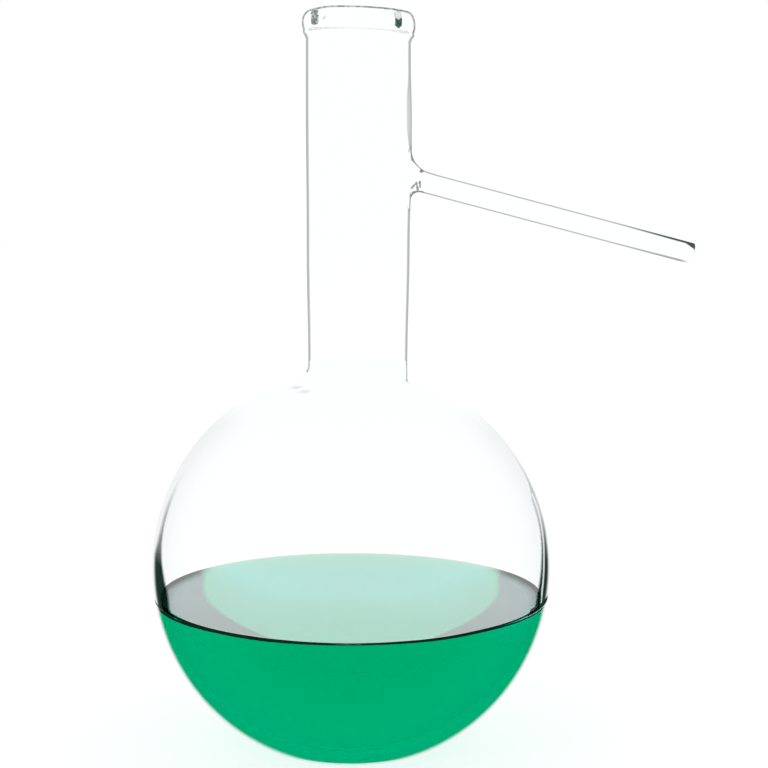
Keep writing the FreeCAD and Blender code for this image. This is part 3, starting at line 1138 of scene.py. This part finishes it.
@dataclass(kw_only=True)
class Neck(ArmNeighbour):
    """The straight neck, drawn in at its foot, with the hole that the arm's root fills."""

    foot: float
    top: float
    node: str = "neck"
    name: str = "glass_neck"
    trued: bool = True
    # How dark the neck's painted edge shade is.
    ink: float = 0.9
    thick_shift: float = 0.12
    thick_fade: float = 0.28

    def outline(self) -> Outline:
        """The section of the neck's wall.

        Returns:
            The section, which ends where it began.
        """
        ease, plain = 1 * MM, NECK.radius
        bend = self.foot + NECK.taper
        drawn = Outline(NECK.foot_radius, self.foot).line(NECK.foot_radius, self.foot + ease)
        drawn.ease(plain, bend).line(plain, self.top - 2 * ease, 3 * MM).line(plain, self.top, 0.3 * MM)
        drawn.line(plain - NECK.wall, self.top).line(plain - NECK.wall, self.top - ease)
        drawn.line(plain - NECK.wall, bend, 3 * MM).ease(NECK.foot_radius - NECK.wall, self.foot + ease)
        drawn.line(NECK.foot_radius - NECK.wall, self.foot)
        return drawn

    def carry(self, point: Vector) -> Vector:
        """The point, about the neck's own axis."""
        return on_neck_axis(point)

    def cut(self, obj: bpy.types.Object) -> None:
        """Cuts the hole for the arm's root.

        Args:
            obj: The neck.
        """
        bpy.ops.object.select_all(action="DESELECT")
        bpy.ops.mesh.primitive_cylinder_add(
            vertices=128, radius=ARM.seal_radius, depth=40 * MM, location=(0, 0, 0), end_fill_type="NGON"
        )
        cutter = bpy.context.active_object
        cutter.data.transform(self.arm @ Matrix.Translation((0, 0, 21 * MM)))
        alone(obj)
        port = obj.modifiers.new("port", "BOOLEAN")
        port.operation, port.solver, port.object = "DIFFERENCE", "EXACT", cutter
        bpy.ops.object.modifier_apply(modifier=port.name)
        bpy.data.objects.remove(cutter)

    def is_seam(self, middle: Vector, normal: Vector) -> bool:
        """Whether a face is melted to a neighbour.

        Args:
            middle: The face's middle.
            normal: Its normal.

        Returns:
            True on such a face.
        """
        if abs(normal.z) > 0.9 and min(abs(middle.z - self.foot), abs(middle.z - self.top)) < 0.01 * MM:
            return True
        local = self.to_arm @ middle
        on_hole = abs(math.hypot(local.x, local.y) - ARM.seal_radius) < 0.05 * MM
        return local.z > 0 and on_hole and abs(normal.dot(self.along)) < 0.1

    def wall_normal(self, place: Vector, own: Vector) -> Vector | None:
        """The wall's true normal at a corner, which the cut beside it would bend.

        Args:
            place: The corner.
            own: Its own normal.

        Returns:
            The true normal, or None to keep its own.
        """
        out = Vector((place.x - NECK.offset, place.y, 0)).normalized()
        side = 1 if own.dot(out) > 0 else -1
        level = Vector((out.x * side, out.y * side, 0))
        if place.z > self.foot + NECK.taper:
            return level
        return Vector((level.x, level.y, own.z)).normalized()

    def edging(self, place: Vector) -> Edge:
        """One painted dark line of shade down each side, broader and softer where the wall is thick above the
        arm.

        Args:
            place: A point of the neck.

        Returns:
            How it shows.
        """
        out = Vector((place.x - NECK.offset, place.y, 0))
        if out.length < NECK.foot_radius - NECK.wall / 2:
            return Edge()
        side = smooth_step(out.x / out.length, 0.6, 0.9)
        above = place.z - self.root
        thick = side * smooth_step(above, 4 * MM, 12 * MM) * (1 - smooth_step(above, 19 * MM, 30 * MM))
        inner = smooth_step(abs(place.y), 3 * MM, 5.5 * MM)
        return Edge(self.thick_shift * thick, self.ink - thick * self.thick_fade * inner)


@dataclass(kw_only=True)
class RimBead(GlassPiece):
    """The rolled bead round the mouth, fire-polished at its lip."""

    foot: float
    top: float
    node: str = "rim_bead"
    name: str = "glass_rim"
    foot_round: float = 1.3 * MM
    line_ink: float = 0.82
    crown_shift: float = 0.75
    plain_shift: float = 0.05
    # Strokes of painted shade on the bead's front.
    marks: tuple[Mark, ...] = (
        Mark((-13.8 * MM, 3.1 * MM), (-13.8 * MM, 6.3 * MM), 1.05 * MM, 0.85),
        Mark((-10.9 * MM, 4.0 * MM), (-10.7 * MM, 4.3 * MM), 0.45 * MM, 0.2),
        Mark((12.2 * MM, 5.6 * MM), (12.2 * MM, 6.0 * MM), 1.15 * MM, 0.35),
        Mark((12.3 * MM, 2.9 * MM), (12.4 * MM, 4.6 * MM), 0.95 * MM, 1.6),
    )

    def outline(self) -> Outline:
        """The section of the bead.

        Returns:
            The section, which ends where it began.
        """
        tall = self.top - self.foot
        sag = NECK.bead_radius - (NECK.radius + NECK.lip_radius) / 2
        roll = (tall**2 / 4 + sag**2) / (2 * sag)
        middle = (NECK.bead_radius - roll, self.foot + tall / 2)
        bore = NECK.radius - NECK.wall
        # The small hollow round under the bead touches the neck's wall and the roll.
        inner = NECK.radius + self.foot_round
        gap = math.sqrt((roll + self.foot_round) ** 2 - (inner - middle[0]) ** 2)
        hollow = (inner, middle[1] - gap)
        low = math.degrees(math.atan2(hollow[1] - middle[1], hollow[0] - middle[0]))
        edge = NECK.lip_round
        crown = self.top - edge
        high = math.degrees(math.asin((crown - middle[1]) / (roll - edge)))
        lip = (middle[0] + (roll - edge) * math.cos(math.radians(high)), crown)
        drawn = Outline(NECK.radius, self.foot)
        if hollow[1] > self.foot:
            drawn.line(NECK.radius, hollow[1], 1 * MM)
            drawn.arc(hollow, self.foot_round, 180, 180 + low, 5.0)
        drawn.arc(middle, roll, low, high, 3.0)
        drawn.arc(lip, edge, high, 90, 8.0)
        drawn.line(bore + edge, self.top, 1 * MM)
        drawn.arc((bore + edge, crown), edge, 90, 180, 8.0)
        drawn.line(bore, self.foot, 1 * MM)
        return drawn

    def carry(self, point: Vector) -> Vector:
        """The point, about the neck's own axis."""
        return on_neck_axis(point)

    def is_seam(self, middle: Vector, normal: Vector) -> bool:
        """The foot, melted to the neck."""
        return normal.z < -0.9 and middle.z < self.foot + 0.01 * MM

    def edging(self, place: Vector) -> Edge:
        """A fine painted dark line round the bead and along its lip, and a faint painted line of shade along
        a crease over its foot.

        Args:
            place: A point of the bead.

        Returns:
            How it shows.
        """
        out = Vector((place.x - NECK.offset, place.y))
        above = (place.z - self.foot) / (self.top - self.foot)
        if out.length < NECK.radius - NECK.lip_round:
            return Edge()
        mark = self.marked(place, Vector((out.x, place.y, place.z - self.foot)))
        if mark is not None:
            return mark
        crown = smooth_step(above, 0.88, 0.95)
        crease = max(0.0, 1 - abs(above - 0.125) / 0.08)
        crease *= 1 - smooth_step(abs(out.x) / out.length, 0.82, 0.92)
        shift = self.crown_shift * crown + crease - self.plain_shift
        return Edge(shift, self.line_ink * (1 - 0.75 * min(1.0, 2 * crease)))


@dataclass(kw_only=True)
class ArmSeal(ArmNeighbour):
    """The flared root of the arm, melted into the neck's wall.

    It is turned about the arm's axis from one section, and each half plane then takes its own.
    """

    node: str = "side_arm_seal"
    name: str = "glass_arm_root"
    around: int = 160
    trued: bool = True
    # Strokes of painted shade on the root's front.
    marks: tuple[Mark, ...] = (
        Mark((19.7 * MM, -2.1 * MM), (20.2 * MM, -1.6 * MM), 0.35 * MM, 0.8),
        Mark((19.3 * MM, -5.4 * MM), (19.8 * MM, -7.1 * MM), 0.35 * MM, 0.8),
        Mark((18.3 * MM, -5.6 * MM), (18.8 * MM, -7.9 * MM), 0.35 * MM, 0.7),
        Mark((16.8 * MM, -7.4 * MM), (18.0 * MM, -6.1 * MM), 0.30 * MM, 0.7),
        Mark((17.6 * MM, -8.9 * MM), (20.1 * MM, -8.8 * MM), 0.55 * MM, 0.8),
    )

    def wall_at(self, across: float, angle: float, radius: float) -> float:
        """How far along the arm's axis the neck's wall lies.

        Args:
            across: The distance from the arm's axis.
            angle: The direction from that axis, 0 upwards.
            radius: Of the neck's outside or bore.

        Returns:
            The distance along the arm's axis.
        """
        level = math.sqrt(radius**2 - (across * math.sin(angle)) ** 2)
        return (level - across * math.cos(angle) * math.sin(ARM.slope)) / math.cos(ARM.slope)

    def fillet(
        self, angle: float, radius: float, tube: Callable[[float], float], bend: float
    ) -> tuple[tuple[float, float], float, float]:
        """Finds the round between the neck's wall and a tube, in one half plane through the arm's axis.

        Args:
            angle: The half plane's direction, 0 upwards.
            radius: Of the neck's outside or bore.
            tube: The tube's radius at a distance along the axis.
            bend: The round's radius.

        Returns:
            The round's middle as (along, across), and its first and last angle, from the wall to the tube.
        """
        def normal(across: float) -> tuple[float, float]:
            """The wall's direction outwards.

            Args:
                across: The distance from the arm's axis.

            Returns:
                The direction, as (along, across).
            """
            step = 0.01 * MM
            before, after = (self.wall_at(across + sign * step, angle, radius) for sign in (-1, 1))
            slope = (after - before) / (2 * step)
            size = math.hypot(1, slope)
            return 1 / size, -slope / size

        def miss(across: float) -> float:
            """How far a round that touches the wall stands off the tube.

            Args:
                across: Where it touches, from the arm's axis.

            Returns:
                The distance, below 0 where the round cuts into the tube.
            """
            n = normal(across)
            centre = (self.wall_at(across, angle, radius) + n[0] * bend, across + n[1] * bend)
            return centre[1] - tube(centre[0]) - bend

        low, high = 0.3 * ARM.radius, ARM.seal_radius * 1.3
        for _ in range(60):
            middle = (low + high) / 2
            low, high = (middle, high) if miss(middle) < 0 else (low, middle)
        n = normal(low)
        centre = (self.wall_at(low, angle, radius) + n[0] * bend, low + n[1] * bend)
        first = math.atan2(-n[1], -n[0])
        lean = math.atan((tube(centre[0] + MM) - tube(centre[0] - MM)) / (2 * MM))
        last = -math.pi / 2 + lean
        if first > 0:
            first -= TURN
        return centre, first, last

    def section(self, angle: float) -> list[tuple[float, float]]:
        """The section of the root's wall in one half plane through the arm's axis.

        Args:
            angle: The half plane's direction, 0 upwards.

        Returns:
            Points as (along, across), once round the section.
        """
        share = (1 + math.cos(angle)) / 2
        bend = ARM.armpit + (ARM.crotch - ARM.armpit) * share**1.3

        def taper(along: float) -> float:
            """The root's outer radius at a distance along the axis."""
            return ARM.root_radius + (ARM.radius - ARM.root_radius) * along / ARM.seal_reach

        points: list[tuple[float, float]] = []
        centre, first, last = self.fillet(angle, NECK.radius, taper, bend)
        edge = centre[1] + bend * math.sin(first)
        for i in range(9):
            across = ARM.seal_radius + (edge - ARM.seal_radius) * i / 8
            points.append((self.wall_at(across, angle, NECK.radius), across))
        for i in range(1, 19):
            a = first + (last - first) * i / 18
            points.append((centre[0] + bend * math.cos(a), centre[1] + bend * math.sin(a)))
        start = points[-1]
        for i in range(1, 9):
            along = start[0] + (ARM.seal_reach - start[0]) * i / 8
            points.append((along, taper(along)))
        centre, first, last = self.fillet(angle, NECK.radius - NECK.wall, lambda along: ARM.bore, ARM.mouth)
        end = centre[0]
        for i in range(9):
            points.append((ARM.seal_reach + (end - ARM.seal_reach) * i / 8, ARM.bore))
        for i in range(1, 9):
            a = last + (first - last) * i / 8
            points.append((centre[0] + ARM.mouth * math.cos(a), centre[1] + ARM.mouth * math.sin(a)))
        edge = points[-1][1]
        for i in range(1, 11):
            across = edge + (ARM.seal_radius - edge) * i / 10
            points.append((self.wall_at(across, angle, NECK.radius - NECK.wall), across))
        return points

    @cached_property
    def sections(self) -> list[list[tuple[float, float]]]:
        """The sections all round the arm's axis."""
        return [self.section(TURN * k / self.around) for k in range(self.around)]

    def outline(self) -> Outline:
        """The uppermost section, in the arm's own axes.

        Returns:
            The section, which ends where it began.
        """
        drawn = Outline(0, 0)
        drawn.points = [(across, along) for along, across in self.sections[0]]
        return drawn

    def carry(self, point: Vector) -> Vector:
        """Takes a point of the turned section to its own half plane's section.

        Args:
            point: The point.

        Returns:
            Its place.
        """
        k = round(math.atan2(point.y, point.x) % TURN / TURN * self.around) % self.around
        here = (point.z, math.hypot(point.x, point.y))
        first = self.sections[0]
        i = min(range(len(first)), key=lambda j: math.dist(here, first[j]))
        along, across = self.sections[k][i]
        angle = TURN * k / self.around
        return self.arm @ Vector((across * math.cos(angle), across * math.sin(angle), along))

    def is_seam(self, middle: Vector, normal: Vector) -> bool:
        """Whether a face is melted to a neighbour.

        Args:
            middle: The face's middle.
            normal: Its normal.

        Returns:
            True on such a face.
        """
        local = self.to_arm @ middle
        across, facing = math.hypot(local.x, local.y), normal.dot(self.along)
        at_end = local.z > ARM.seal_reach - 0.01 * MM and facing > 0.9
        return at_end or (across > ARM.seal_radius - 0.02 * MM and abs(facing) < 0.3)

    def wall_normal(self, place: Vector, own: Vector) -> Vector | None:
        """The wall's true normal at a corner, which the cut beside it would bend.

        Args:
            place: The corner.
            own: Its own normal.

        Returns:
            The true normal, or None to keep its own.
        """
        out = Vector((place.x - NECK.offset, place.y, 0))
        gap = min(abs(out.length - NECK.radius), abs(out.length - NECK.radius + NECK.wall))
        if gap > 0.002 * MM:
            return None
        out.normalize()
        return out if own.dot(out) > 0 else -out

    def edging(self, place: Vector) -> Edge:
        """A fine painted dark line of shade round the outside alone.

        Args:
            place: A point of the root.

        Returns:
            How it shows.
        """
        local = self.to_arm @ place
        across = math.hypot(place.x - NECK.offset, place.y)
        in_bore = math.hypot(local.x, local.y) < (ARM.bore + ARM.radius) / 2
        if in_bore or across < NECK.radius - NECK.wall / 2:
            return Edge()
        mark = self.marked(place, place - Vector((NECK.offset, 0, self.root)))
        if mark is not None:
            return mark
        out = smooth_step(across, NECK.radius + 1 * MM, NECK.radius + 7 * MM)
        on_wall = 1 - smooth_step(across, NECK.radius + 0.3 * MM, NECK.radius + 1.2 * MM)
        beyond = smooth_step(place.z - self.root, 3 * MM, 6 * MM)
        on_wall *= smooth_step(abs(place.y), 3 * MM, 4.5 * MM) * (1 - beyond)
        return Edge(0.08 + 0.10 * out, (0.76 - 0.18 * out) * (1 - on_wall))


@dataclass(kw_only=True)
class SideArm(ArmNeighbour):
    """The side arm's tube, from its root to its fire-polished open end."""

    node: str = "side_arm"
    name: str = "glass_arm"
    around: int = 128

    def outline(self) -> Outline:
        """The section of the tube's wall, in the arm's own axes.

        Returns:
            The section, which ends where it began.
        """
        soft, end = ARM.end_round, ARM.length
        drawn = Outline(ARM.radius, ARM.seal_reach).line(ARM.radius, end - soft, 3 * MM)
        drawn.arc((ARM.radius - soft, end - soft), soft, 0, 90, 15.0)
        drawn.line(ARM.bore + soft, end)
        drawn.arc((ARM.bore + soft, end - soft), soft, 90, 180, 15.0)
        drawn.line(ARM.bore, ARM.seal_reach, 3 * MM)
        return drawn

    def carry(self, point: Vector) -> Vector:
        """The point, about the arm's axis."""
        return self.arm @ point

    def is_seam(self, middle: Vector, normal: Vector) -> bool:
        """The face that is melted to the root."""
        return (self.to_arm @ middle).z < ARM.seal_reach + 0.01 * MM and normal.dot(self.along) < -0.9

    def edging(self, place: Vector) -> Edge:
        """A fine painted dark line of shade down the outside, darker near the end and darkest on top of it.

        Args:
            place: A point of the arm.

        Returns:
            How it shows.
        """
        local = self.to_arm @ place
        if math.hypot(local.x, local.y) < (ARM.bore + ARM.radius) / 2:
            return Edge()
        upper = smooth_step(local.x, -1 * MM, 2.5 * MM)
        near_end = smooth_step(local.z, ARM.length - 30 * MM, ARM.length - 4 * MM)
        at_end = upper * smooth_step(local.z, ARM.length - 2.2 * MM, ARM.length - 1.4 * MM)
        lower = 1 - smooth_step(local.z, ARM.length - 1.2 * MM, ARM.length - 0.6 * MM)
        ink = 0.53 + 0.12 * near_end + 0.40 * near_end * upper
        return Edge(0.18 + 0.10 * near_end + 0.35 * at_end, ink * max(upper, lower))


@dataclass
class Filling:
    """The green liquid, with a meniscus that climbs the glass."""

    level: float
    climb: float = 1.2 * MM
    bend: float = 1.6 * MM
    soak: float = 0.06 * MM
    # Where the surface's painted shade lies near the wall, and how dark it is.
    dark_ring: float = 62.9 * MM
    dark_ink: float = 0.55
    node: str = "liquid"
    name: str = "green_filling"

    def outline(self) -> Outline:
        """The section of the liquid, a hair larger than the space that it fills.

        Returns:
            The section, which ends on the axis.
        """
        inset = BULB.wall - self.soak
        reach = BULB.radius - BULB.wall
        contact = self.level + self.climb
        wall = math.sqrt(reach**2 - (contact - BULB.centre) ** 2)
        edge = wall - math.sqrt(self.bend**2 - (self.bend - self.climb) ** 2)
        shore, top = (
            math.degrees(math.asin((z - BULB.centre) / (BULB.radius - inset))) for z in (self.level, contact)
        )
        drawn = draw_bowl(Outline(0, inset), inset, shore)
        drawn.arc((0, BULB.centre), BULB.radius - inset, shore, top)
        last = math.degrees(math.atan2(self.climb - self.bend, wall - edge))
        drawn.arc((edge, self.level + self.bend), self.bend, last, -90, 5.0)
        drawn.line(0, self.level, 3 * MM)
        return drawn

    def kind(self, middle: Vector, normal: Vector) -> LiquidFace | None:
        """The kind of a face.

        Args:
            middle: Its middle.
            normal: Its normal.

        Returns:
            The kind, or None for the body.
        """
        creeping = middle.z > self.level + 0.02 * MM
        if normal.z <= 0.02:
            return LiquidFace.SHORE if creeping else None
        return LiquidFace.MENISCUS if creeping and middle.y < 0 else LiquidFace.OPEN

    def edging(self, place: Vector) -> Edge:
        """The surface has painted shade near the wall at the flask's sides, towards the back.

        Args:
            place: A point of the liquid.

        Returns:
            How it shows.
        """
        ring, wall = math.hypot(place.x, place.y), self.dark_ring
        if place.z < self.level - 0.02 * MM or ring < 40 * MM:
            return Edge()
        side = abs(place.x) / wall
        behind = math.sqrt(max(wall**2 - place.x**2, 0)) - place.y
        arc = smooth_step(side, 0.76, 0.88) * (1 - smooth_step(behind, 2 * MM, 14 * MM))
        beside = smooth_step(side, 0.9, 0.97) * (1 - smooth_step(wall - ring, 0.5 * MM, 2.5 * MM))
        return Edge(ink=self.dark_ink * max(arc, beside))

    def build(self) -> bpy.types.Object:
        """Models and dresses the liquid.

        Returns:
            The piece.
        """
        obj = turned(self.name, self.outline(), Closing.ON_AXIS)
        finish_mesh(obj, [GreenLiquid("green_liquid").material()], lambda middle, normal: 0, self.edging)
        kinds = [self.kind(face.center, face.normal) for face in obj.data.polygons]
        for wanted in LiquidFace:
            layer = obj.data.attributes.new(wanted.value, "FLOAT", "FACE")
            layer.data.foreach_set("value", [float(kind is wanted) for kind in kinds])
        shift_points(obj, self.deepen)
        return obj

    def deepen(self, point: Vector) -> Vector:
        """Lets the painted dark line of the shore in front wander along the wall, and the meniscus behind
        rise gently.

        Args:
            point: A point of the liquid.

        Returns:
            Its place.
        """
        ring, reach = math.hypot(point.x, point.y), BULB.radius - BULB.wall + self.soak
        if point.z < self.level - 0.01 * MM:
            return point
        upper, lower = shore_depths(point)
        share = (point.z - self.level) / self.climb
        if abs(math.hypot(ring, point.z - BULB.centre) - reach) > 0.01 * MM:
            front = self.level + (self.climb - upper) * share
            behind = self.level + self.climb * min(max(ring - 10 * MM, 0) / (53 * MM), 1)
            height = front + (behind - front) * smooth_step(point.y, -10 * MM, 45 * MM)
            return Vector((point.x, point.y, height))
        height = self.level + self.climb - lower + (lower - upper) * share
        share = math.sqrt(reach**2 - (height - BULB.centre) ** 2) / ring
        return Vector((point.x * share, point.y * share, height))


# ---------------------------------------------------------------- studio


@dataclass(frozen=True)
class Viewpoint:
    """Where the camera stands and looks."""

    place: tuple[float, float, float] = (0.0, -0.5619, 0.1803)
    down: float = math.radians(6.15)
    aside: float = math.radians(1.071)
    roll: float = math.radians(-0.277)
    lens: float = 80.83

    def build(self) -> bpy.types.Object:
        """Makes the scene's camera.

        Returns:
            The camera.
        """
        data = bpy.data.cameras.new("camera")
        data.lens, data.sensor_width = self.lens, 36.0
        data.clip_start, data.clip_end = 0.01, 50.0
        camera = bpy.data.objects.new("camera", data)
        bpy.context.scene.collection.objects.link(camera)
        level = Vector((math.sin(self.aside), math.cos(self.aside), 0))
        ahead = level * math.cos(self.down) - Vector((0, 0, math.sin(self.down)))
        right = Vector((math.cos(self.aside), -math.sin(self.aside), 0))
        above = right.cross(ahead)
        tilted = right * math.cos(self.roll) - above * math.sin(self.roll)
        upward = right * math.sin(self.roll) + above * math.cos(self.roll)
        axes = Matrix((tilted, upward, -ahead)).transposed().to_4x4()
        camera.matrix_world = Matrix.Translation(self.place) @ axes
        bpy.context.scene.camera = camera
        return camera


@dataclass
class Studio:
    """A plain pale floor, a white surround and two soft lamps."""

    surround: float = 0.75
    floor_gap: float = 0.3 * MM
    floor_size: float = 12.0
    lamps: list[tuple[str, tuple[float, float, float], float, float]] = field(
        default_factory=lambda: [
            ("lamp_left", (-0.9, -0.8, 1.3), 0.9, 3.0),
            ("lamp_right", (1.1, 0.3, 1.5), 0.9, 2.5),
        ]
    )

    def build(self) -> None:
        """Makes the floor, the surround and the lamps."""
        bpy.ops.object.select_all(action="DESELECT")
        bpy.ops.mesh.primitive_plane_add(size=self.floor_size, location=(0, 0, -self.floor_gap))
        floor = bpy.context.active_object
        floor.name = "floor"
        floor.data.materials.append(PaleFloor("floor_white").material())
        world = bpy.data.worlds.new("surround")
        bpy.context.scene.world = world
        graph = Graph(world)
        strength = graph.background_rays() * (1 - self.surround) + self.surround
        white = graph.node("ShaderNodeBackground", None, {"Color": WHITE, "Strength": strength})
        graph.node("ShaderNodeOutputWorld", None, {"Surface": white})
        for name, place, size, power in self.lamps:
            data = bpy.data.lights.new(name, "AREA")
            data.shape, data.size, data.energy = "DISK", size, power
            lamp = bpy.data.objects.new(name, data)
            bpy.context.scene.collection.objects.link(lamp)
            lamp.location = place
            lamp.visible_transmission = lamp.visible_glossy = False
            lamp.rotation_euler = (Vector((0, 0, 0.1)) - Vector(place)).to_track_quat("-Z", "Y").to_euler()

    def settings(self) -> None:
        """Sets the view and how many times light may turn in the glass."""
        scene = bpy.context.scene
        scene.view_settings.view_transform = "Standard"
        scene.cycles.max_bounces = 40
        scene.cycles.transmission_bounces = 36
        scene.cycles.glossy_bounces = 24
        scene.cycles.transparent_max_bounces = 48
        scene.cycles.diffuse_bounces = 3


# ---------------------------------------------------------------- the flask


def seat(piece: bpy.types.Object, node: str) -> None:
    """Puts a finished piece in the place of its CAD node.

    Args:
        piece: The piece.
        node: The node that it stands for.
    """
    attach(piece, next(iter(frame["bodies"])))
    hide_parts(node)
    LOG.info("%s stands for %s with %d faces", piece.name, node, len(piece.data.polygons))


def main() -> None:
    """Builds the flask and the studio."""
    logging.basicConfig(level=logging.INFO, format="%(message)s")
    foot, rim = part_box("neck")[0].z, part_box("rim_bead")[1].z
    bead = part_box("rim_bead")[0].z
    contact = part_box("liquid")[1].z
    root = rim - ARM.below_lip
    filling = Filling(contact - Filling.climb)
    drawn = DrawnNeck(foot, root, bead, rim)
    seam = FusedSeam("fused_seam").material()
    # Strokes of painted shade on the bulb's shoulder.
    dashes = (
        Mark((-19.4 * MM, 120.7 * MM), (-14.0 * MM, 119.3 * MM), 0.3 * MM, 0.2),
        Mark((17.9 * MM, 126.0 * MM), (17.7 * MM, 121.7 * MM), 0.25 * MM, 0.5),
    )
    # Each glass's colour of painted edge shade is given with its finish.
    bulb_glass = ClearGlass(
        "bulb_glass",
        start=0.755,
        full=0.805,
        ink=(0.012, 0.035, 0.025),
        body=(0.99, 0.995, 0.998),
        quiet=1.0,
        waves=0.015,
        haze=0.12,
    )
    rim_glass = ClearGlass("rim_glass", ink=(0.05, 0.11, 0.09), mottle=0.4)
    glass: list[tuple[GlassPiece, Finish]] = [
        (Bulb(top=foot, contact=contact, marks=dashes), bulb_glass),
        (Neck(foot=foot, top=bead, root=root, drawn=drawn), ClearGlass("neck_glass")),
        (RimBead(foot=bead, top=rim, drawn=drawn), rim_glass),
        (ArmSeal(root=root, drawn=drawn), ClearGlass("root_glass", ink=(0.05, 0.09, 0.08))),
        (SideArm(root=root), ClearGlass("arm_glass", ink=(0.05, 0.09, 0.08))),
    ]
    for part, finish in glass:
        seat(part.build(finish, seam), part.node)
    seat(filling.build(), filling.node)
    studio = Studio()
    studio.build()
    studio.settings()
    Viewpoint().build()


if __name__ == "__main__":
    main()
